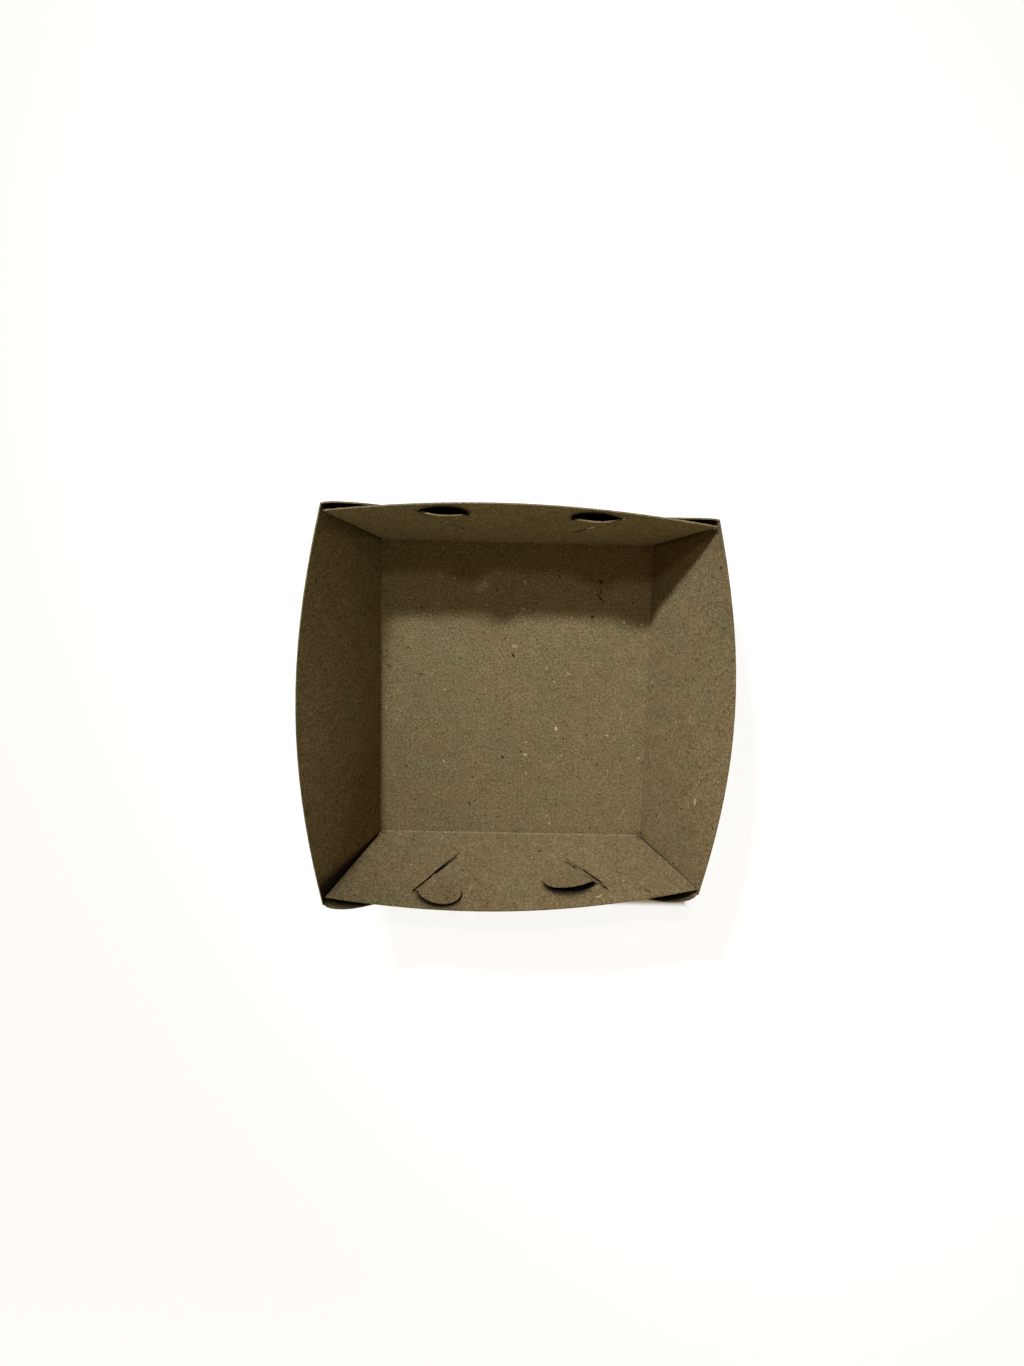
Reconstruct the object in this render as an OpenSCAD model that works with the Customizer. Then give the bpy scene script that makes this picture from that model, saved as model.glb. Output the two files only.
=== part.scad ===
// Open takeaway box folded from one sheet of brown recycled board.
// Millimetres. The origin is the middle of the underside of the base, up is +Z.
// Front is -Y, back is +Y, left is -X and right is +X.

/* [Board] */
// Thickness of the board
board_t = 0.55; // [0.4:0.05:0.8]
// Distance from a fold line at which the board starts to bend
fold_reach = 0.7; // [0.6:0.1:1.2]

/* [Base] */
// Width of the base between the left and the right fold
base_w = 110; // [98:1:150]
// Depth of the base between the front and the back fold
base_d = 122.4; // [90:1:160]

/* [Left and right walls] */
// Slant height of these walls at the corners of the rim
side_h = 46.2; // [38:0.5:56]
// Extra height of their rim half way between the corners
side_arch = 6.4; // [0:0.5:10]
// How far their rim bows outward half way between the corners
side_bow = 5.4; // [0:0.5:8]
// Outward lean of these walls from upright, in degrees
side_lean = 21.8; // [10:0.2:30]

/* [Front and back walls] */
// Slant height of these walls at the corners of the rim
end_h = 44; // [38:0.5:54]
// Extra height of their rim half way between the corners
end_arch = 3.5; // [0:0.5:8]
// How far the front rim bows outward
front_bow = 4.8; // [0:0.5:6]
// How far the back rim bows outward
back_bow = 3.8; // [0:0.5:6]
// Outward lean of the front wall from upright, in degrees
front_lean = 13.4; // [7:0.2:22]
// Outward lean of the back wall from upright, in degrees
back_lean = 12.7; // [7:0.2:22]
// How much less the front wall leans at its right end than in the middle
front_pull = 4.4; // [0:0.2:5]
// How much less the back wall leans at its right end than in the middle
back_pull = 1.6; // [0:0.2:5]
// Clear gap between a free end of these walls and the side wall
edge_gap = 0.5; // [0.3:0.1:1.2]
// Clear gap between the folds of two walls at a corner of the base
corner_gap = 0.25; // [0.2:0.05:0.6]

/* [Wings] */
// Slant height above the base at which a wing leaves its side wall
wing_start = 1.6; // [1.6:0.2:8]
// Clear gap between a wing and the wall it covers, at the base corner
pocket_low = 0.45; // [0.3:0.05:1]
// Clear gap between a wing and the wall it covers, at the rim corner
pocket_top = 2; // [0.8:0.1:3]
// Height of the top edge of a wing over the straight line to its tongue
wing_crown = 2; // [0:0.5:4]
// Clear gap between a wing and the wall where it reaches the slit
wing_gap = 0.2; // [0.15:0.05:0.4]
// Distance before the slit from which a wing lies along the wall
wing_lap = 2; // [1.6:0.1:4]

/* [Slits] */
// Distance of the inner end of a slit from the base corner, along the wall
slit_in = 33.4; // [30:0.5:36]
// Length of a slit along the wall
slit_run = 16.6; // [12:0.2:18]
// Height of a slit up the wall
slit_rise = 21.2; // [18:0.2:24]
// Depth of the outer end of a front slit below the corner of the rim
front_drop = 5.2; // [3.5:0.1:7]
// Depth of the outer end of a back slit below the corner of the rim
back_drop = 2.6; // [2:0.1:7]
// Length over which a front slit closes beside the tongue
front_close = 2; // [1:0.2:8]
// Length over which a back slit closes beside the tongue
back_close = 9; // [1:0.2:9.6]
// Clear space beside the tongue in the slit it passes through
slit_clear = 0.36; // [0.3:0.02:0.8]
// Width of a slit at its two ends
slit_tip = 0.4; // [0.3:0.1:0.8]

/* [Tongues] */
// Width of the neck of a tongue
neck_w = 11.2; // [9:0.2:13]
// Length of the rounded head of a tongue
head_l = 14.4; // [11:0.2:17]
// Distance from the shoulders of a head to its widest place
head_mid = 5; // [4:0.5:8]
// How far the head hooks past the neck towards the rim
hook_up = 2.6; // [1:0.2:3]
// How far the head hooks past the neck towards the base
hook_low = 0.8; // [0.6:0.2:2]
// Clear gap between the lower edge of a head and the wall
tongue_gap = 0.2; // [0.15:0.05:0.5]
// Distance past the slit at which a front tongue has risen to its full lift
front_rise = 4.5; // [3:0.5:14]
// Distance past the slit at which a back tongue has risen to its full lift
back_rise = 13; // [3:0.5:14]

/* [Front left lock] */
// Distance of the neck from the outer end of the slit
fl_slide = 1.1; // [1:0.1:6]
// Turn of the tongue towards the base, as sideways travel for each millimetre
fl_turn = 0.1; // [0:0.05:0.6]
// How far the shoulders of the head are past the slit
fl_push = 2.3; // [-3:0.1:4]
// How far the rim side of the head stands off the wall
fl_lift = 1.6; // [0.2:0.1:4]
// How far the top of the wing bulges away from the wall
fl_bulge = 2.7; // [0:0.1:4]

/* [Front right lock] */
// Distance of the neck from the outer end of the slit
fr_slide = 4.9; // [1:0.1:6]
// Turn of the tongue towards the base, as sideways travel for each millimetre
fr_turn = 0.4; // [0:0.05:0.6]
// How far the shoulders of the head are past the slit
fr_push = 3.2; // [-3:0.1:4]
// How far the rim side of the head stands off the wall
fr_lift = 3.7; // [0.2:0.1:4]
// How far the top of the wing bulges away from the wall
fr_bulge = 3.9; // [0:0.1:4]

/* [Back left lock] */
// Distance of the neck from the outer end of the slit
bl_slide = 2.5; // [1:0.1:6]
// Turn of the tongue towards the base, as sideways travel for each millimetre
bl_turn = 0.3; // [0:0.05:0.6]
// How far the shoulders of the head are past the slit
bl_push = -0.2; // [-3:0.1:4]
// How far the rim side of the head stands off the wall
bl_lift = 3.7; // [0.2:0.1:4]
// How far the top of the wing bulges away from the wall
bl_bulge = 0.9; // [0:0.1:4]

/* [Back right lock] */
// Distance of the neck from the outer end of the slit
br_slide = 2.5; // [1:0.1:6]
// Turn of the tongue towards the base, as sideways travel for each millimetre
br_turn = 0.3; // [0:0.05:0.6]
// How far the shoulders of the head are past the slit
br_push = -0.2; // [-3:0.1:4]
// How far the rim side of the head stands off the wall
br_lift = 3.7; // [0.2:0.1:4]
// How far the top of the wing bulges away from the wall
br_bulge = 0.4; // [0:0.1:4]

/* [Build] */
// Sub-part to draw

/* [Hidden] */
half_t = board_t / 2;
wall_cols = 18;
end_cols = 22;
fold_rows = 4;
wall_rows = 8;
// Rows of a wall from the edge of the base up to where the wing starts
wing_row = fold_rows + 1;

// Half width of a front or back wall on its fold line
end_half0 = base_w / 2 - max(half_t / cos(side_lean) + edge_gap, fold_reach + corner_gap);

// Length of a slit and the directions along and across it
slit_l = norm([slit_run, slit_rise]);
slit_dir = [slit_run, slit_rise] / slit_l;
slit_across = [-slit_dir.y, slit_dir.x];

// A tongue crosses its slit at about 45 degrees, over twice this distance
cross_d = 1.2 * (board_t + wing_gap);

// Width of a slit where the slanting tongue passes
slit_w = (1 + sqrt(2)) * board_t + slit_clear;
// Length of the round cutters that make a slit
slit_cut = 10 * board_t;

function unit(v) = v / max(norm(v), 0.000001);
function mix(a, b, k) = a + (b - a) * k;

// Slide, push, lift, turn and bulge of the lock at one corner
function lock(sx, sy) =
    sy < 0
    ? (sx < 0
        ? [fl_slide, fl_push, fl_lift, fl_turn, fl_bulge]
        : [fr_slide, fr_push, fr_lift, fr_turn, fr_bulge])
    : (sx < 0
        ? [bl_slide, bl_push, bl_lift, bl_turn, bl_bulge]
        : [br_slide, br_push, br_lift, br_turn, br_bulge]);

// Outer end of a slit as distance from the middle of the wall and slant height
function slit_outer(sy) =
    [base_w / 2 - slit_in + slit_run, end_h - (sy < 0 ? front_drop : back_drop)];

// Lean of a front or back wall across its width, c from -1 left to 1 right
function lean_at(sy, c) = sy < 0 ? front_lean - front_pull * c : back_lean - back_pull * c;

// Half width of a front or back wall at slant height s
function end_half(s) = end_half0 + s * cos((front_lean + back_lean) / 2) * tan(side_lean);

// Middle of the board of a front or back wall
function end_pt(sy, c, s) =
    let (
        a = lean_at(sy, c),
        top = sy < 0 ? front_bow : back_bow,
        b = top * (1 - c * c) * pow(s / end_h, 2)
    )
    [
        c * end_half(s),
        sy * (base_d / 2 + s * sin(a) + b * cos(a)),
        half_t + s * cos(a) - b * sin(a)
    ];

function end_rim(c) = end_h + end_arch * (1 - c * c);

// Distance from the middle plane of the box to a corner crease at height z
function crease_y(sx, sy, z) =
    sy * (base_d / 2 + z * tan(lean_at(sy, sx)) + board_t
    + mix(pocket_low, pocket_top, z / (side_h * cos(side_lean))));

function crease_pt(sx, sy, s) =
    [
        sx * (base_w / 2 + s * sin(side_lean)),
        crease_y(sx, sy, s * cos(side_lean)),
        half_t + s * cos(side_lean)
    ];

// Middle of the board of a left or right wall, c from -1 front to 1 back
function side_pt(sx, c, s) =
    let (
        b = side_bow * (1 - c * c) * pow(s / side_h, 2),
        front = crease_y(sx, -1, s * cos(side_lean)) + fold_reach,
        back = crease_y(sx, 1, s * cos(side_lean)) - fold_reach
    )
    [
        sx * (base_w / 2 + s * sin(side_lean) + b * cos(side_lean)),
        mix(front, back, (c + 1) / 2),
        half_t + s * cos(side_lean) - b * sin(side_lean)
    ];

function side_rim(c) = side_h + side_arch * (1 - c * c);

// Slant height of row k of a left or right wall, counted above the fold
function side_s(c, k) =
    k <= 1
    ? mix(fold_reach, wing_start, k)
    : mix(wing_start, side_rim(c), (k - 1) / (wall_rows - 1));

function bezier(a, b, c, k) = mix(mix(a, b, k), mix(b, c, k), k);

// Column of a front or back wall, from the edge of the base to the rim
function end_col(sy, c) =
    let (
        a = [c * end_half0, sy * (base_d / 2 - fold_reach), half_t],
        b = [c * end_half0, sy * base_d / 2, half_t],
        d = end_pt(sy, c, fold_reach)
    )
    concat(
        [for (k = [0 : fold_rows]) bezier(a, b, d, k / fold_rows)],
        [for (k = [1 : wall_rows]) end_pt(sy, c, mix(fold_reach, end_rim(c), k / wall_rows))]
    );

// Column of a left or right wall, from the edge of the base to the rim
function side_col(sx, c) =
    let (
        a = [sx * (base_w / 2 - fold_reach), c * base_d / 2, half_t],
        b = side_pt(sx, c, 0),
        d = side_pt(sx, c, fold_reach)
    )
    concat(
        [for (k = [0 : fold_rows]) bezier(a, b, d, k / fold_rows)],
        [for (k = [1 : wall_rows]) side_pt(sx, c, side_s(c, k))]
    );

function end_grid(sy) = [for (i = [0 : end_cols]) end_col(sy, 2 * i / end_cols - 1)];
function side_grid(sx) = [for (i = [0 : wall_cols]) side_col(sx, 2 * i / wall_cols - 1)];

// Direction of the board's face at one point of a grid
function face_dir(g, i, j) =
    let (
        n = len(g) - 1,
        m = len(g[0]) - 1,
        u = unit(g[min(i + 1, n)][j] - g[i][j]) + unit(g[i][j] - g[max(i - 1, 0)][j]),
        v = unit(g[i][min(j + 1, m)] - g[i][j]) + unit(g[i][j] - g[i][max(j - 1, 0)])
    )
    unit(cross(u, v));

// A wall's face, with its first row lying level in the base
function wall_face(g, k) =
    [for (i = [0 : len(g) - 1])
        [for (j = [0 : len(g[0]) - 1])
            let (n = face_dir(g, i, j))
            g[i][j] + k * half_t * (j == 0 ? [0, 0, sign(n.z)] : n)]];

// Point beside a front or back wall: x from the middle, s up the slant, g outward
function beside_end(sx, sy, x, s, g) =
    let (
        c = sx * x / end_half(s),
        u = end_pt(sy, c + 0.01, s) - end_pt(sy, c - 0.01, s),
        v = end_pt(sy, c, s + 0.1) - end_pt(sy, c, s - 0.1),
        n = unit(cross(u, v))
    )
    end_pt(sy, c, s) + g * (n.y * sy > 0 ? n : -n);

// The same from the slit: d across it towards the head, e along it
function beside_slit(sx, sy, d, e, g) =
    let (p = slit_outer(sy) + e * slit_dir + d * slit_across)
    beside_end(sx, sy, p.x, p.y, g);

// Lower and upper edge of a tongue at distance d past its slit, along the slit
function tongue_edges(q, d) =
    let (
        k = (d - q[1]) / head_mid,
        hook = pow(sin(90 * max(0, min(1, k))), 0.4),
        half = (neck_w + hook_up + hook_low) / 2,
        mid = half - q[0] - neck_w - hook_low,
        r = max(0, min(1, (d - q[1] - head_mid) / (head_l - head_mid))),
        w = half * sqrt(1 - r * r)
    )
    k < 1 ? [-q[0] - neck_w - hook_low * hook, hook_up * hook - q[0]] : [mid - w, mid + w];

// Distances past the slit at which a tongue has its columns
function tongue_stations(push) =
    concat(
        [cross_d],
        [for (k = [0, 0.12, 0.4, 1])
            let (d = push + k * head_mid)
            if (d > cross_d + 0.2) d],
        [for (a = [20, 38, 54, 68, 79, 86])
            push + mix(head_mid, head_l, sin(a))]
    );

// Point of a tongue d past the slit and e along it, standing off the wall by
// the tongue gap at its lower edge and by the lift as well at its rim side
function tongue_pt(sx, sy, q, d, e) =
    let (
        h = (e + q[0] + neck_w + hook_low) / (neck_w + hook_low + hook_up),
        k = (d - cross_d) / (sy < 0 ? front_rise : back_rise),
        rise = q[2] * sin(90 * min(1, k)) * pow(max(h, 0), 1.4)
    )
    beside_slit(sx, sy, d, e - q[3] * d, -(board_t + tongue_gap + rise));

// Columns of a wing and its tongue, each from the lower to the upper edge
function wing_grid(sx, sy) =
    let (
        q = lock(sx, sy),
        out = board_t + wing_gap,
        edge = tongue_edges(q, -wing_lap),
        ks = [0 : wall_rows - 1],
        vs = [for (k = ks) k / (wall_rows - 1)],
        ss = [for (k = ks) side_s(1, k + 1)],
        root = [for (s = ss) side_pt(sx, sy, s)],
        crease = [for (s = ss) crease_pt(sx, sy, s)],
        near = [for (v = vs) beside_slit(sx, sy, -wing_lap, mix(edge[0], edge[1], v), out)],
        start = [for (k = ks) crease[k] + fold_reach * unit(near[k] - crease[k])]
    )
    concat(
        [root],
        [for (w = [0.25, 0.5, 0.75, 1])
            [for (k = ks) bezier(root[k], crease[k], start[k], w)]],
        [for (w = [0.03, 0.08, 0.14, 0.22, 0.32, 0.45, 0.6, 0.8, 1])
            let (b = 4 * pow(w, 0.68) * (1 - pow(w, 0.68)), c = 4 * w * (1 - w))
            [for (k = ks)
                mix(start[k], near[k], w)
                + vs[k] * [0, sy * q[4] * b, wing_crown * c]]],
        [for (p = [[-1, 1], [-0.5, 0.6]])
            let (t = tongue_edges(q, p[0] * cross_d))
            [for (v = vs) beside_slit(sx, sy, p[0] * cross_d, mix(t[0], t[1], v), p[1] * out)]],
        [let (t = tongue_edges(q, 0.5 * cross_d))
            [for (v = vs)
                beside_slit(sx, sy, 0.5 * cross_d, mix(t[0], t[1], v), -0.6 * (board_t + tongue_gap))]],
        [for (d = tongue_stations(q[1]))
            let (t = tongue_edges(q, d))
            [for (v = vs) tongue_pt(sx, sy, q, d, mix(t[0], t[1], v))]]
    );

function turned(g) = [for (i = [len(g) - 1 : -1 : 0]) g[i]];

// A wing's face, joined to the end column of its side wall
function wing_face(sx, sy, wall, k) =
    let (
        g = sy > 0 ? wing_grid(sx, sy) : turned(wing_grid(sx, sy)),
        root = sy > 0 ? 0 : len(g) - 1,
        col = sy > 0 ? wall[wall_cols] : wall[0]
    )
    [for (i = [0 : len(g) - 1])
        [for (j = [0 : len(g[0]) - 1])
            i == root ? col[wing_row + j] : g[i][j] + k * half_t * face_dir(g, i, j)]];

// Closed piece of board between two faces given as grids of points
module board(top, bottom) {
    n = len(top);
    m = len(top[0]);
    q = n * m;
    polyhedron(
        points = concat([for (r = top) each r], [for (r = bottom) each r]),
        faces = concat(
            [for (i = [0 : n - 2])
                for (j = [0 : m - 2])
                    let (a = i * m + j)
                    each [
                        [a, a + 1, a + m + 1],
                        [a, a + m + 1, a + m],
                        [q + a, q + a + m + 1, q + a + 1],
                        [q + a, q + a + m, q + a + m + 1]
                    ]],
            [for (i = [0 : n - 2])
                let (a = i * m, b = i * m + m - 1)
                each [
                    [a, a + m, q + a + m],
                    [a, q + a + m, q + a],
                    [b + m, b, q + b + m],
                    [b, q + b, q + b + m]
                ]],
            [for (j = [0 : m - 2])
                let (a = j, b = (n - 1) * m + j)
                each [
                    [a + 1, a, q + a + 1],
                    [a, q + a, q + a + 1],
                    [b, b + 1, q + b + 1],
                    [b, q + b + 1, q + b]
                ]]
        ),
        convexity = 10
    );
}

// Disc through a wall at distance e along the slit
module slit_disc(sx, sy, e, r) {
    p = beside_slit(sx, sy, 0, e, 0);
    n = unit(beside_slit(sx, sy, 0, -slit_l / 2, 1) - beside_slit(sx, sy, 0, -slit_l / 2, 0));
    translate(p)
        rotate([0, acos(n.z), atan2(n.y, n.x)])
            cylinder(r = r, h = slit_cut, center = true, $fn = 12);
}

// Diagonal slit, widest along the neck of the tongue
module slit(sx, sy) {
    t = tongue_edges(lock(sx, sy), cross_d / 2);
    close = sy < 0 ? front_close : back_close;
    stops = [
        [-slit_tip / 2, slit_tip / 2],
        [min(-slit_tip, t[1] + close), slit_tip / 2],
        [t[1], slit_w / 2],
        [t[0], slit_w / 2],
        [t[0] - close, slit_tip / 2],
        [-slit_l, slit_tip / 2]
    ];
    for (k = [0 : len(stops) - 2])
        hull() {
            slit_disc(sx, sy, stops[k][0], stops[k][1]);
            slit_disc(sx, sy, stops[k + 1][0], stops[k + 1][1]);
        }
}

module base_panel() {
    translate([0, 0, half_t])
        cube([base_w - 2 * fold_reach, base_d - 2 * fold_reach, board_t], center = true);
}

module end_wall(sy) {
    g = end_grid(sy);
    difference() {
        board(wall_face(g, 1), wall_face(g, -1));
        slit(-1, sy);
        slit(1, sy);
    }
}

module side_wall(sx) {
    g = side_grid(sx);
    top = wall_face(g, 1);
    bottom = wall_face(g, -1);
    board(top, bottom);
    board(wing_face(sx, -1, top, 1), wing_face(sx, -1, bottom, -1));
    board(wing_face(sx, 1, top, 1), wing_face(sx, 1, bottom, -1));
}

module folded_box() {
    color("#8c7b57")
        union() {
            base_panel();
            end_wall(-1);
            end_wall(1);
            side_wall(-1);
            side_wall(1);
        }
}

folded_box();
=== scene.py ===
"""Looks of an open takeaway tray folded from one sheet of brown recycled board.

Metres, in the frame's axes: front is -Y, back +Y, left -X, right +X and up +Z.
"""

import math

import bmesh
import bpy
from mathutils import Matrix, Vector


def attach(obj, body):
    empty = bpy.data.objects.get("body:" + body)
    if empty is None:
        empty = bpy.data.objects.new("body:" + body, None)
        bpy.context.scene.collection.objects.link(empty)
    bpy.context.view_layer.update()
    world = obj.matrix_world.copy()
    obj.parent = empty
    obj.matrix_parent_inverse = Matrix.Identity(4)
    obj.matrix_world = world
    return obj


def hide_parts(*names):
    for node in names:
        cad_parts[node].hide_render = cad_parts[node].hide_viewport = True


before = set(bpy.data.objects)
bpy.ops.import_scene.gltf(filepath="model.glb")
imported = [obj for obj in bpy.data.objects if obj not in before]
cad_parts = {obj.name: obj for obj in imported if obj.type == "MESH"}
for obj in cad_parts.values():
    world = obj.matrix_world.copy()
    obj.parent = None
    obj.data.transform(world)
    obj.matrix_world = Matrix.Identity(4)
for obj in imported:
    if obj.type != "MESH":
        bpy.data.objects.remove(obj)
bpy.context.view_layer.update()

MM = 0.001
WHITE = (1.0, 1.0, 1.0, 1.0)

# The photograph: a phone's main camera, its long side 1366 pixels. It looks straight down,
# turned a little by this rotation vector.
PHOTO_FOCAL = 1026.0
PHOTO_LONG = 1366.0
CAMERA_PLACE = Vector((-8.106, 73.122, 418.340)) * MM
CAMERA_TURN = Vector((-0.165488, -0.015139, 0.023554))
SENSOR_WIDTH = 36.0
NEAREST_SEEN = 0.01

# Every lamp stands at an azimuth, left of +Y, and a height above the floor, in degrees.
# The key is a level row of three round lamps. Their beams are aimed at the back right of
# the tray, so the light fades towards the front left. KEY_BEAM is their radius there.
KEY_AZIMUTH = 26.7
KEY_HEIGHT = 41.4
KEY_SPREAD = 3.6
KEY_DISTANCE = 3.0
KEY_RADIUS = 0.085
KEY_STRENGTH = 3.78
KEY_COLOUR = (1.0, 1.0, 1.04)
KEY_BEAM = 0.230
KEY_AIM = Vector((56.0, 22.0, -12.0)) * MM

# A weaker light over the key, and a wide low one at the front
SECOND_LIGHT = {
    "azimuth": 14.0,
    "height": 58.4,
    "strength": 0.46,
    "width": 5.0,
    "colour": (1.0, 0.94, 0.80),
}
LOW_FILL = {
    "azimuth": 188.0,
    "height": 20.0,
    "strength": 0.88,
    "width": 50.0,
    "colour": (1.0, 0.91, 0.70),
}
SKY_COLOUR = (1.0, 0.66, 0.20, 1.0)
SKY_STRENGTH = 0.16

# Floor, with the strip under the tray that the camera of the photograph can't see
FLOOR_HALF = 6.0
FLOOR_DROP = 0.1 * MM
NEAR_MIDDLE_Y = -15.0 * MM
NEAR_HALF_X = 74.0 * MM
NEAR_HALF_Y = 75.0 * MM
NEAR_FADE = 3.0 * MM

# How pale the floor is to the light on the tray, and its glow to the camera, which grows
# to full white between these distances from the strip
FLOOR_GREY = 0.35
FLOOR_GLOW = 0.86
FAR_START = 0.15
FAR_END = 0.6


class Nodes:
    """Short calls to build the node tree of one material or world."""

    def __init__(self, owner):
        owner.use_nodes = True
        self.tree = owner.node_tree
        self.tree.nodes.clear()

    def add(self, kind, **settings):
        node = self.tree.nodes.new(kind)
        for key, value in settings.items():
            setattr(node, key, value)
        return node

    def link(self, source, socket):
        if hasattr(source, "is_output"):
            self.tree.links.new(source, socket)
        else:
            socket.default_value = source

    def made(self, kind, inputs, **settings):
        """A new node with these values or links on its sockets."""
        node = self.add(kind, **settings)
        for socket, source in inputs.items():
            self.link(source, node.inputs[socket])
        return node

    def math(self, operation, a, b=0.0, clamp=False):
        node = self.made("ShaderNodeMath", {0: a, 1: b}, operation=operation, use_clamp=clamp)
        return node.outputs[0]

    def vector(self, operation, a, b=(0.0, 0.0, 0.0)):
        node = self.made("ShaderNodeVectorMath", {0: a, 1: b}, operation=operation)
        return node.outputs["Value" if operation in ("LENGTH", "DOT_PRODUCT") else "Vector"]

    def parts(self, vector):
        """The x, y and z of a vector."""
        return tuple(self.made("ShaderNodeSeparateXYZ", {0: vector}).outputs)

    def remap(self, value, low, high, to_low=0.0, to_high=1.0, smooth=False):
        ends = {"From Min": low, "From Max": high, "To Min": to_low, "To Max": to_high}
        kind = "SMOOTHSTEP" if smooth else "LINEAR"
        node = self.made("ShaderNodeMapRange", {"Value": value, **ends}, interpolation_type=kind)
        return node.outputs["Result"]

    def noise(self, place, size, shift, detail, rough):
        settings = {"Scale": 1.0 / size, "Detail": detail, "Roughness": rough}
        moved = self.vector("ADD", place, shift)
        return self.made("ShaderNodeTexNoise", {"Vector": moved, **settings}).outputs["Fac"]

    def blend(self, factor, a, b, kind="MIX"):
        inputs = {0: factor, 6: a, 7: b}
        return self.made("ShaderNodeMix", inputs, data_type="RGBA", blend_type=kind).outputs[2]

    def paint(self, colour, tone, mask, strength):
        """The colour with a tone of this strength laid over it where the mask is."""
        return self.blend(self.math("MULTIPLY", mask, strength), colour, tone)

    def grey(self, value):
        return self.made("ShaderNodeCombineColor", {0: value, 1: value, 2: value}).outputs[0]


def srgb(r, g, b):
    """Linear colour of an sRGB value from 0 to 255."""
    c = [v / 255.0 for v in (r, g, b)]
    return tuple(v / 12.92 if v < 0.04045 else ((v + 0.055) / 1.055) ** 2.4 for v in c) + (1.0,)


BOARD = srgb(119, 107, 77)
BOARD_DARK = srgb(97, 86, 59)
BOARD_PALE = srgb(140, 127, 97)
BOARD_GREEN = srgb(110, 107, 81)
BOARD_PINK = srgb(126, 106, 79)
FLECK_DARK = srgb(50, 38, 24)
FLECK_PALE = srgb(196, 184, 156)
CUT_EDGE = srgb(128, 115, 86)
# Colour of the painted shade in crevices, along the slits and towards the corners
PAINTED_SHADE = srgb(12, 8, 4)

# Noises in the pulp: size, shift, detail and roughness of each, then the values between
# which they take effect
MOTTLE = (5.0 * MM, (0.0, 0.0, 0.0), 3.0, 0.55)
TINT = (15.0 * MM, (3.1, 1.7, 0.4), 3.0, 0.55)
CLOUD = (26.0 * MM, (7.7, 4.1, 2.9), 2.0, 0.55)
GRAIN = (0.55 * MM, (0.0, 0.0, 0.0), 3.0, 0.65)
FIBRE = (1.1 * MM, (1.9, 5.3, 8.2), 4.0, 0.7)
NOISE_RANGE = (0.3, 0.7)
TINT_RANGE = (0.35, 0.65)
PALE_RANGE = (0.52, 0.75)
DARK_RANGE = (0.48, 0.25)

# How strongly each shows in the colour
TINT_SHARE = 0.5
MOTTLE_SHARE = 0.4
CLOUD_SHARE = 0.2
GRAIN_SHARE = 0.62
FIBRE_SHARE = 0.38

# The pulp is greyer at the back left and warmer at the front right: change for each metre
WARMER_TOWARDS = (1.4, -2.0, 0.0)

# The surface: its roughness, its low gloss, and the bump of the grain and fibres
ROUGHNESS = (0.82, 0.95)
GLOSS = 0.05
BUMP_DEPTH = 0.25 * MM
BUMP_FACE = 0.35
BUMP_CUT = 0.55
BUMP_FIBRE = 0.6

# Painted shade: board this close to other board, in its slits, pockets and under the
# tongues, is painted dark. The painted shade starts and is complete at these shares of
# open sky, and sooner in the deep places.
CREVICE_REACH = 8.0 * MM
CREVICE_OPEN = (0.56, 0.36)
CREVICE_STRENGTH = 0.95
CREVICE_SAMPLES = 6
DEEPER = 0.24

# Flecks of fibre in the pulp: spacing, share of the spots in use, half width and half
# length in millimetres, seed, tone and strength. Their outlines are ragged by this much.
FLECKS = (
    (1.9, 0.60, 0.20, 0.70, 0.11, FLECK_DARK, 0.40),
    (2.2, 0.55, 0.18, 0.65, 0.23, FLECK_PALE, 0.36),
    (3.7, 0.55, 0.28, 0.95, 0.37, FLECK_DARK, 0.75),
    (6.5, 0.45, 0.45, 1.05, 0.59, FLECK_DARK, 0.70),
    (5.2, 0.50, 0.25, 0.80, 0.83, FLECK_PALE, 0.70),
)
RAGGED = 0.7 * MM

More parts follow.
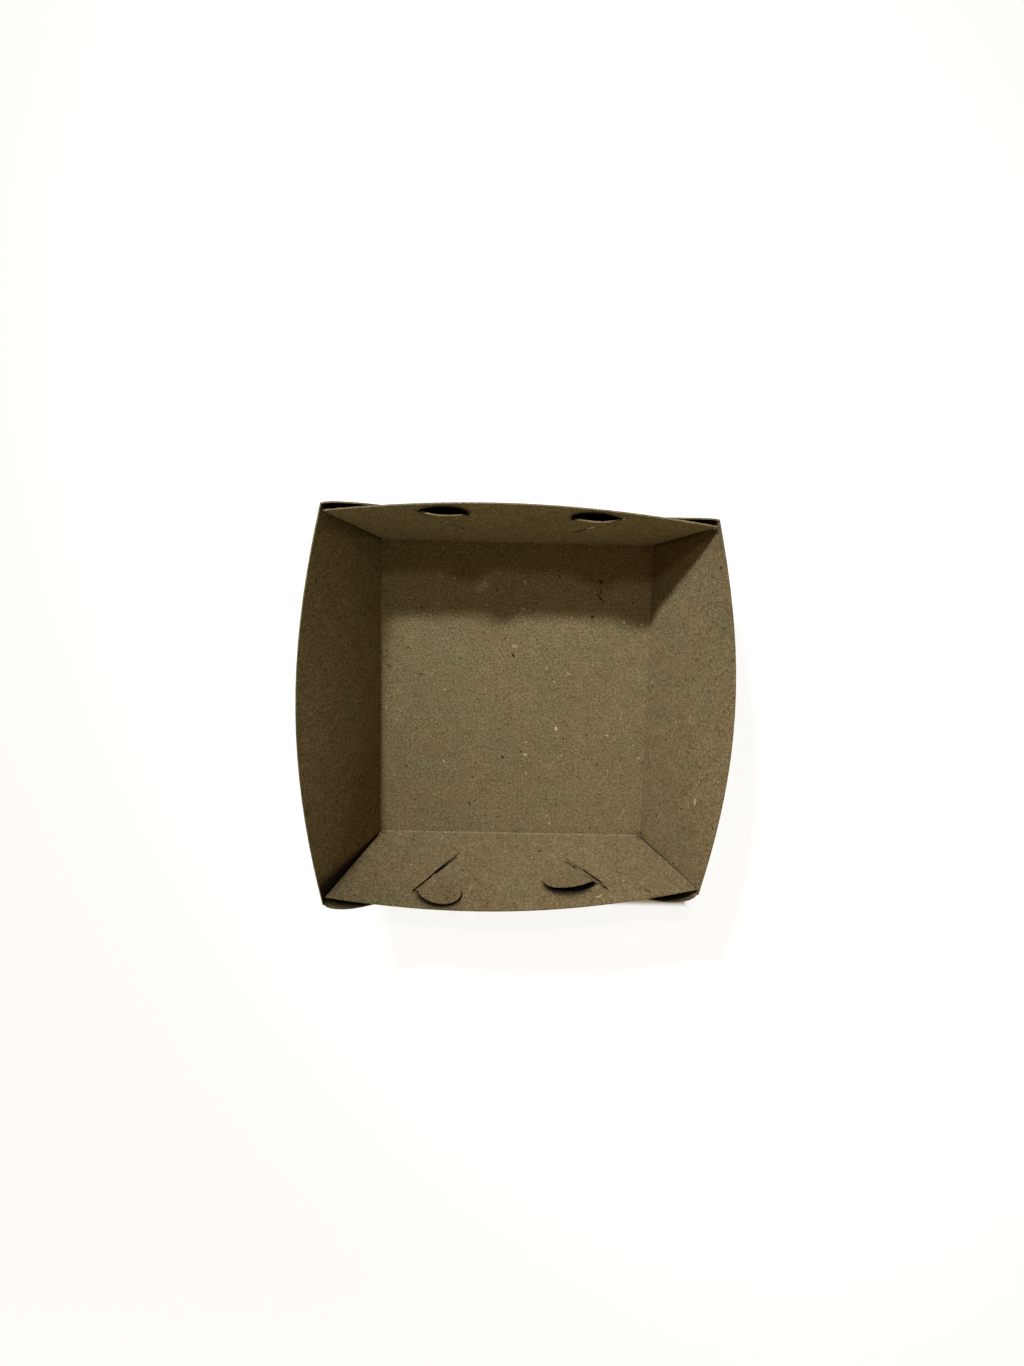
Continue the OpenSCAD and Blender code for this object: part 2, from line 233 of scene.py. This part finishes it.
# The few marks that show by themselves: two ends in millimetres, half width, strength, tone
MARKS = (
    ((33.2, 40.6, 0.6), (35.4, 38.2, 0.6), 0.35, 0.95, FLECK_DARK),
    ((34.0, 46.1, 0.6), (34.3, 45.5, 0.6), 0.60, 0.75, FLECK_DARK),
    ((34.4, 42.2, 0.6), (34.6, 41.4, 0.6), 0.50, 0.70, FLECK_DARK),
    ((31.2, 31.7, 0.6), (31.3, 31.3, 0.6), 0.45, 0.95, FLECK_DARK),
    ((-0.8, 15.3, 0.6), (-0.6, 14.7, 0.6), 0.55, 0.90, FLECK_DARK),
    ((-8.0, 42.0, 0.6), (-7.7, 41.2, 0.6), 0.45, 0.70, FLECK_DARK),
    ((-39.3, 6.3, 0.6), (-37.6, 6.4, 0.6), 0.35, 0.55, FLECK_DARK),
    ((17.1, 48.0, 0.6), (17.3, 47.7, 0.6), 0.45, 0.80, FLECK_DARK),
    ((-40.3, -16.4, 0.6), (-40.1, -16.4, 0.6), 0.35, 0.85, FLECK_DARK),
    ((-4.2, -27.8, 0.6), (-4.0, -28.1, 0.6), 0.50, 0.95, FLECK_DARK),
    ((35.5, -30.2, 0.6), (35.7, -30.6, 0.6), 0.40, 0.70, FLECK_DARK),
    ((-17.7, -47.7, 0.6), (-17.5, -49.0, 0.6), 0.35, 0.75, FLECK_DARK),
    ((-52.0, 9.6, 0.6), (-51.2, 9.0, 0.6), 0.50, 0.70, FLECK_DARK),
    ((73.7, 54.9, 41.9), (73.9, 54.7, 42.3), 0.50, 0.85, FLECK_DARK),
    ((-62.3, -60.2, 18.7), (-61.8, -62.2, 17.7), 0.40, 0.70, FLECK_DARK),
    ((11.7, -64.2, 13.0), (12.5, -64.4, 13.7), 0.50, 0.70, FLECK_DARK),
    ((41.9, -67.3, 28.2), (43.4, -67.4, 29.0), 0.40, 0.60, FLECK_DARK),
    ((52.3, -70.0, 40.5), (53.6, -70.2, 41.9), 0.70, 0.50, FLECK_DARK),
    ((-0.8, 18.8, 0.6), (0.4, 18.7, 0.6), 0.60, 0.30, FLECK_PALE),
    ((3.2, 45.4, 0.6), (3.5, 44.6, 0.6), 0.50, 0.30, FLECK_PALE),
    ((13.1, 10.4, 0.6), (13.3, 9.8, 0.6), 0.35, 0.35, FLECK_PALE),
    ((17.8, -15.1, 0.6), (17.9, -15.7, 0.6), 0.50, 0.85, FLECK_PALE),
    ((5.0, -26.6, 0.6), (5.7, -26.8, 0.6), 0.55, 0.55, FLECK_PALE),
    ((70.7, -35.4, 33.6), (70.7, -37.3, 33.8), 0.40, 0.75, FLECK_PALE),
    ((33.3, -72.8, 41.6), (34.9, -72.4, 41.0), 0.40, 0.60, FLECK_PALE),
)

# Painted lines along the front and back folds of the base, a pale painted highlight at the
# front and a dark painted shade at the back: y and half width in millimetres, strength and
# tone. They fade out from the lower to the higher of these heights.
FOLD_HIGHLIGHT_AND_SHADE = (
    (-61.0, 0.4, 0.12, FLECK_PALE),
    (61.0, 0.5, 0.25, FLECK_DARK),
)
FOLD_TOP = (2.0 * MM, 1.2 * MM)
FOLD_CORE = 0.3

# A fleck fades between these shares of its size squared, and a line of its half width
FLECK_EDGE = (1.5, 0.4)
LINE_EDGE = (1.25, 0.75)
MIDDLE = (0.5, 0.5, 0.5)

# Painted shade as dark lines along the slits: outer end, middle and inner end, and the half
# width at each
SLIT_SHADE_LINES = (
    (((-37.9, -74.1, 37.1), (-29.5, -69.4, 25.7), (-20.8, -65.3, 14.8)), (0.25, 0.70, 0.15)),
    (((37.4, -70.9, 37.7), (30.0, -68.5, 29.2), (22.0, -66.0, 20.1)), (0.25, 0.50, 0.20)),
    (((-38.4, 73.1, 40.3), (-29.9, 69.5, 30.0), (-21.2, 66.3, 20.0)), (0.30, 0.45, 0.30)),
    (((38.4, 71.8, 40.7), (29.9, 68.8, 30.2), (21.2, 65.9, 20.1)), (0.30, 0.45, 0.30)),
)

# Where a side wall meets a front or back wall: how far from the middle of the tray at the
# floor, and how much further for each millimetre of height
CORNER_Y = 61.2 * MM
CORNER_SLOPE = 0.27

# Painted shade on the side walls towards their corners: side, end, reach for each millimetre
# of height and strength. It reaches this much further at every height, fades between these
# shares of its reach, and lies where the face is turned inwards this much.
CORNER_SHADES = (
    (-1, -1, 0.17, 0.9),
    (-1, 1, 0.30, 0.35),
    (1, 1, 0.30, 0.35),
    (1, -1, 0.04, 0.5),
)
SHADE_FOOT = 0.5 * MM
SHADE_EDGE = (1.0, 0.15)
SHADE_INWARDS = (0.3, 0.6)

# The deep places, which get more painted shade: the pockets past the corner lines and above
# this height, and all within reach of the middle of a rounded head, in millimetres
POCKET_EDGE = 1.0 * MM
POCKET_FOOT = (12.0 * MM, 18.0 * MM)
HEADS = ((-24.0, -71.0, 36.0), (17.0, -70.0, 33.0), (-21.0, 70.0, 36.0), (21.0, 69.0, 36.0))
HEAD_REACH = 16.0 * MM
HEAD_CORE = 0.8 * HEAD_REACH

# Points closer than this are one, and faces that meet flatter than this are one surface
WELD = 1e-6
FLATTER = math.radians(38)


def fleck_mask(n, place, cell, share, wide, long, seed):
    """Mask of scattered long flecks: one at some of the spots, each turned its own way."""
    moved = n.vector("ADD", place, (seed, seed * 0.7, seed * 1.3))
    spacing = {"Vector": moved, "Scale": 1.0 / (cell * MM), "Randomness": 1.0}
    spot = n.made("ShaderNodeTexVoronoi", spacing, feature="F1")
    offset = n.vector("SUBTRACT", moved, spot.outputs["Position"])
    axis = n.vector("NORMALIZE", n.vector("SUBTRACT", spot.outputs["Color"], MIDDLE))
    along = n.vector("DOT_PRODUCT", offset, axis)
    along2 = n.math("MULTIPLY", along, along)
    away = n.vector("LENGTH", offset)
    across2 = n.math("SUBTRACT", n.math("MULTIPLY", away, away), along2)
    reach = n.math(
        "ADD",
        n.math("DIVIDE", along2, (long * MM) ** 2),
        n.math("DIVIDE", across2, (wide * MM) ** 2),
    )
    shape = n.remap(reach, *FLECK_EDGE, smooth=True)
    colour = {"Vector": spot.outputs["Color"]}
    pick = n.made("ShaderNodeTexWhiteNoise", colour, noise_dimensions="3D")
    chosen = n.remap(pick.outputs["Value"], share, share - 0.02)
    return n.math("MULTIPLY", shape, chosen)


def fold_mask(n, place, y, wide):
    """Mask of a thin line along a fold of the base, its y and half width in millimetres."""
    here = n.parts(place)
    near = n.math("ABSOLUTE", n.math("SUBTRACT", here[1], y * MM))
    line = n.remap(near, wide * MM, FOLD_CORE * wide * MM, smooth=True)
    return n.math("MULTIPLY", line, n.remap(here[2], *FOLD_TOP))


def line_mask(n, place, a, b, wide_a, wide_b):
    """Mask of a line from a to b in millimetres with this half width at each end."""
    a, b = Vector(a) * MM, Vector(b) * MM
    run = b - a
    offset = n.vector("SUBTRACT", place, tuple(a))
    along = n.vector("DOT_PRODUCT", offset, tuple(run / run.length_squared))
    along = n.math("ADD", along, 0.0, clamp=True)
    foot = n.made("ShaderNodeVectorMath", {0: tuple(run), "Scale": along}, operation="SCALE")
    away = n.vector("LENGTH", n.vector("SUBTRACT", offset, foot.outputs[0]))
    wide = n.math("ADD", n.math("MULTIPLY", along, (wide_b - wide_a) * MM), wide_a * MM)
    return n.remap(n.math("DIVIDE", away, wide), *LINE_EDGE, smooth=True)


def corner_line(n, height):
    """Distance from the middle of the tray to its corners at this height."""
    return n.math("ADD", n.math("MULTIPLY", height, CORNER_SLOPE), CORNER_Y)


def corner_shade(n, place, side, end, reach, strength):
    """Mask of painted shade on one side wall's inner face, where it meets a front or back wall.
    """
    x, y, z = n.parts(place)
    facing = n.parts(n.add("ShaderNodeNewGeometry").outputs["Normal"])[0]
    gap = n.math("SUBTRACT", corner_line(n, z), n.math("MULTIPLY", y, end))
    depth = n.math("DIVIDE", gap, n.math("ADD", n.math("MULTIPLY", z, reach), SHADE_FOOT))
    mask = n.remap(depth, *SHADE_EDGE, 0.0, strength, smooth=True)
    inner = n.remap(n.math("MULTIPLY", facing, -side), *SHADE_INWARDS)
    same_side = n.math("GREATER_THAN", n.math("MULTIPLY", x, side), 0.0)
    return n.math("MULTIPLY", mask, n.math("MULTIPLY", inner, same_side))


def deep_shade_mask(n, place):
    """Mask of more painted shade where board lies over board: round the heads, in the pockets.
    """
    here = n.parts(place)
    past = n.math("SUBTRACT", n.math("ABSOLUTE", here[1]), corner_line(n, here[2]))
    outside = n.remap(past, -POCKET_EDGE, POCKET_EDGE)
    mask = n.math("MULTIPLY", outside, n.remap(here[2], *POCKET_FOOT))
    for head in HEADS:
        away = n.vector("LENGTH", n.vector("SUBTRACT", place, tuple(Vector(head) * MM)))
        mask = n.math("MAXIMUM", mask, n.remap(away, HEAD_REACH, HEAD_CORE))
    return mask


def pulp_colour(n, place, base, grain, fibre):
    """The base colour, tinted, mottled and clouded over, with the grain and fibres in it."""
    tint = n.math("ADD", n.noise(place, *TINT), n.vector("DOT_PRODUCT", place, WARMER_TOWARDS))
    colour = n.blend(n.remap(tint, *TINT_RANGE), BOARD_GREEN, BOARD_PINK)
    colour = n.blend(TINT_SHARE, colour, base)
    mottle = n.noise(place, *MOTTLE)
    for tone, limits in ((BOARD_PALE, PALE_RANGE), (BOARD_DARK, DARK_RANGE)):
        colour = n.paint(colour, tone, n.remap(mottle, *limits, smooth=True), MOTTLE_SHARE)
    cloud = n.remap(n.noise(place, *CLOUD), *NOISE_RANGE)
    colour = n.paint(colour, BOARD_DARK, cloud, CLOUD_SHARE)
    speckle = n.math(
        "ADD",
        n.remap(grain, *NOISE_RANGE, -GRAIN_SHARE, GRAIN_SHARE),
        n.remap(fibre, *NOISE_RANGE, -FIBRE_SHARE, FIBRE_SHARE),
    )
    return n.blend(1.0, colour, n.grey(n.math("ADD", 1.0, speckle)), "MULTIPLY")


def marks_and_painted_light(n, place, colour):
    """The colour with flecks, marks, painted fold lines and painted shade at slits and corners.
    """
    noise = n.made("ShaderNodeTexNoise", {"Vector": place, "Scale": 1.0 / RAGGED})
    shift = n.vector("SUBTRACT", noise.outputs["Color"], MIDDLE)
    ragged_place = n.vector("ADD", place, n.vector("MULTIPLY", shift, (RAGGED, RAGGED, RAGGED)))
    for *shape, tone, strength in FLECKS:
        colour = n.paint(colour, tone, fleck_mask(n, ragged_place, *shape), strength)
    # Painted highlight along the front fold and painted shade along the back fold
    for y, wide, strength, tone in FOLD_HIGHLIGHT_AND_SHADE:
        colour = n.paint(colour, tone, fold_mask(n, ragged_place, y, wide), strength)
    for a, b, wide, strength, tone in MARKS:
        colour = n.paint(colour, tone, line_mask(n, place, a, b, wide, wide), strength)
    # Painted shade along the slits
    for ends, widths in SLIT_SHADE_LINES:
        for k in (0, 1):
            mask = line_mask(n, place, ends[k], ends[k + 1], widths[k], widths[k + 1])
            colour = n.blend(mask, colour, PAINTED_SHADE)
    # Painted shade towards the corners of the side walls
    for corner in CORNER_SHADES:
        colour = n.blend(corner_shade(n, place, *corner), colour, PAINTED_SHADE)
    return colour


def crevice_shade_mask(n, place):
    """Mask of the painted shade on the board that other board lies close to."""
    reach = {"Distance": CREVICE_REACH}
    sky = n.made("ShaderNodeAmbientOcclusion", reach, samples=CREVICE_SAMPLES)
    deeper = n.math("MULTIPLY", deep_shade_mask(n, place), DEEPER)
    light = n.math("SUBTRACT", sky.outputs["AO"], deeper)
    return n.remap(light, *CREVICE_OPEN, 0.0, CREVICE_STRENGTH)


def board_material(name, cut):
    """Recycled board. With cut it is the bare edge of the sheet, paler and rougher."""
    material = bpy.data.materials.new(name)
    n = Nodes(material)
    place = n.add("ShaderNodeTexCoord").outputs["Object"]
    grain = n.noise(place, *GRAIN)
    fibre = n.noise(place, *FIBRE)

    colour = pulp_colour(n, place, CUT_EDGE if cut else BOARD, grain, fibre)
    if not cut:
        colour = marks_and_painted_light(n, place, colour)
    # Painted shade where other board lies close over the board
    colour = n.blend(crevice_shade_mask(n, place), colour, PAINTED_SHADE)

    relief = {
        "Strength": BUMP_CUT if cut else BUMP_FACE,
        "Distance": BUMP_DEPTH,
        "Height": n.math("ADD", grain, n.math("MULTIPLY", fibre, BUMP_FIBRE)),
    }
    looks = {
        "Base Color": colour,
        "Roughness": n.remap(grain, *NOISE_RANGE, *ROUGHNESS),
        "Specular IOR Level": GLOSS,
        "Normal": n.made("ShaderNodeBump", relief).outputs["Normal"],
    }
    surface = n.made("ShaderNodeBsdfPrincipled", looks)
    n.made("ShaderNodeOutputMaterial", {"Surface": surface.outputs[0]})
    return material


def grow_faces(mesh, limit):
    """Groups of faces joined across edges that turn less than the limit, and their areas."""
    group = {}
    areas = []
    for face in mesh.faces:
        if face in group:
            continue
        mark = len(areas)
        group[face] = mark
        stack, area = [face], 0.0
        while stack:
            here = stack.pop()
            area += here.calc_area()
            for edge in here.edges:
                if len(edge.link_faces) != 2 or edge.calc_face_angle(0.0) > limit:
                    continue
                for other in edge.link_faces:
                    if other not in group:
                        group[other] = mark
                        stack.append(other)
        areas.append(area)
    return group, areas


def dress_sheet():
    """The folded sheet from the CAD solid, its shading smoothed over the folds."""
    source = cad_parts["folded_box"]
    mesh = bmesh.new()
    mesh.from_mesh(source.data)
    bmesh.ops.remove_doubles(mesh, verts=mesh.verts, dist=WELD)
    mesh.normal_update()
    group, areas = grow_faces(mesh, FLATTER)
    broad = sorted(range(len(areas)), key=lambda k: -areas[k])[:2]
    for face in mesh.faces:
        face.smooth = True
        face.material_index = 0 if group[face] in broad else 1
    for edge in mesh.edges:
        if len(edge.link_faces) == 2:
            a, b = edge.link_faces
            edge.smooth = group[a] == group[b]
    data = bpy.data.meshes.new("board_sheet")
    mesh.to_mesh(data)
    mesh.free()
    sheet = bpy.data.objects.new("board_sheet", data)
    bpy.context.scene.collection.objects.link(sheet)
    data.materials.append(board_material("recycled_board", False))
    data.materials.append(board_material("board_cut_edge", True))
    shading = sheet.modifiers.new("even_shading", "WEIGHTED_NORMAL")
    shading.mode = "FACE_AREA"
    shading.keep_sharp = True
    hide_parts("folded_box")
    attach(sheet, "root")


def floor_material():
    """White to the camera, keeping a soft shadow; plain grey to the light on the tray.

    Close to the tray the camera sees a matt white floor with its full shadow, so holes and
    slits in the board look as dark as they are.
    """
    material = bpy.data.materials.new("studio_floor")
    n = Nodes(material)
    rays = n.add("ShaderNodeLightPath").outputs
    seen = n.math("MAXIMUM", rays["Is Camera Ray"], rays["Is Glossy Ray"])
    seen = n.math("MAXIMUM", seen, rays["Is Transmission Ray"])
    here = n.parts(n.add("ShaderNodeTexCoord").outputs["Object"])
    past_x = n.math("SUBTRACT", n.math("ABSOLUTE", here[0]), NEAR_HALF_X)
    from_y = n.math("ABSOLUTE", n.math("SUBTRACT", here[1], NEAR_MIDDLE_Y))
    past = n.math("MAXIMUM", past_x, n.math("SUBTRACT", from_y, NEAR_HALF_Y))
    near = n.remap(past, NEAR_FADE, 0.0, smooth=True)
    far = n.remap(past, FAR_START, FAR_END, smooth=True)

    white = n.math("MULTIPLY", n.math("MULTIPLY", seen, near), 1.0 - FLOOR_GREY)
    tone = n.grey(n.math("ADD", white, FLOOR_GREY))
    strength = n.math("ADD", n.math("MULTIPLY", far, 1.0 - FLOOR_GLOW), FLOOR_GLOW)
    strength = n.math("MULTIPLY", strength, n.math("SUBTRACT", 1.0, near))
    strength = n.math("MULTIPLY", strength, seen)
    matt = n.made("ShaderNodeBsdfDiffuse", {"Color": tone})
    glow = n.made("ShaderNodeEmission", {"Color": WHITE, "Strength": strength})
    both = n.made("ShaderNodeAddShader", {0: matt.outputs[0], 1: glow.outputs[0]})
    n.made("ShaderNodeOutputMaterial", {"Surface": both.outputs[0]})
    material.cycles.emission_sampling = "NONE"
    return material


def make_floor():
    half = FLOOR_HALF
    corners = [(-half, -half, 0), (half, -half, 0), (half, half, 0), (-half, half, 0)]
    data = bpy.data.meshes.new("studio_floor")
    data.from_pydata(corners, [], [(0, 1, 2, 3)])
    data.materials.append(floor_material())
    floor = bpy.data.objects.new("studio_floor", data)
    floor.location.z = -FLOOR_DROP
    bpy.context.scene.collection.objects.link(floor)


def direction(azimuth, height):
    """Unit vector towards a lamp left of +Y and above the floor, both in degrees."""
    a, h = math.radians(azimuth), math.radians(height)
    return Vector((-math.sin(a) * math.cos(h), math.cos(a) * math.cos(h), math.sin(h)))


def make_key():
    """Three equal lamps side by side, together of the key's strength on the tray."""
    for k in (-1, 0, 1):
        name = f"key_light_{k + 2}"
        lamp = bpy.data.lights.new(name, "SPOT")
        lamp.shadow_soft_size = KEY_RADIUS
        lamp.color = KEY_COLOUR
        lamp.energy = KEY_STRENGTH / 3.0 * 4.0 * math.pi * KEY_DISTANCE**2
        lamp.spot_size = 2.0 * math.atan(KEY_BEAM / KEY_DISTANCE)
        lamp.spot_blend = 1.0
        item = bpy.data.objects.new(name, lamp)
        item.location = direction(KEY_AZIMUTH + k * KEY_SPREAD, KEY_HEIGHT) * KEY_DISTANCE
        item.rotation_mode = "QUATERNION"
        item.rotation_quaternion = (item.location - KEY_AIM).to_track_quat("Z", "Y")
        item.visible_camera = False
        bpy.context.scene.collection.objects.link(item)


def make_sun(name, azimuth, height, strength, width, colour):
    """A far lamp of this width in degrees."""
    lamp = bpy.data.lights.new(name, "SUN")
    lamp.energy = strength
    lamp.angle = math.radians(width)
    lamp.color = colour
    item = bpy.data.objects.new(name, lamp)
    item.rotation_mode = "QUATERNION"
    item.rotation_quaternion = direction(azimuth, height).to_track_quat("Z", "Y")
    bpy.context.scene.collection.objects.link(item)


def make_world():
    """A dim warm sky for the light, white to the camera."""
    world = bpy.data.worlds.new("studio")
    bpy.context.scene.world = world
    n = Nodes(world)
    rays = n.add("ShaderNodeLightPath").outputs
    seen = n.math("MAXIMUM", rays["Is Camera Ray"], rays["Is Transmission Ray"])
    sky = n.made("ShaderNodeBackground", {"Color": SKY_COLOUR, "Strength": SKY_STRENGTH})
    white = n.made("ShaderNodeBackground", {"Color": WHITE, "Strength": 1.0})
    mix = n.made("ShaderNodeMixShader", {0: seen, 1: sky.outputs[0], 2: white.outputs[0]})
    n.made("ShaderNodeOutputWorld", {"Surface": mix.outputs[0]})


def make_camera():
    data = bpy.data.cameras.new("photo_camera")
    data.sensor_fit = "AUTO"
    data.sensor_width = SENSOR_WIDTH
    data.lens = SENSOR_WIDTH * PHOTO_FOCAL / PHOTO_LONG
    data.clip_start = NEAREST_SEEN
    camera = bpy.data.objects.new("photo_camera", data)
    turn = Matrix.Rotation(CAMERA_TURN.length, 4, CAMERA_TURN.normalized())
    camera.matrix_world = Matrix.Translation(CAMERA_PLACE) @ turn
    bpy.context.scene.collection.objects.link(camera)
    bpy.context.scene.camera = camera


dress_sheet()
make_floor()
make_key()
make_sun("second_light", **SECOND_LIGHT)
make_sun("low_fill", **LOW_FILL)
make_world()
make_camera()
bpy.context.scene.view_settings.view_transform = "Standard"
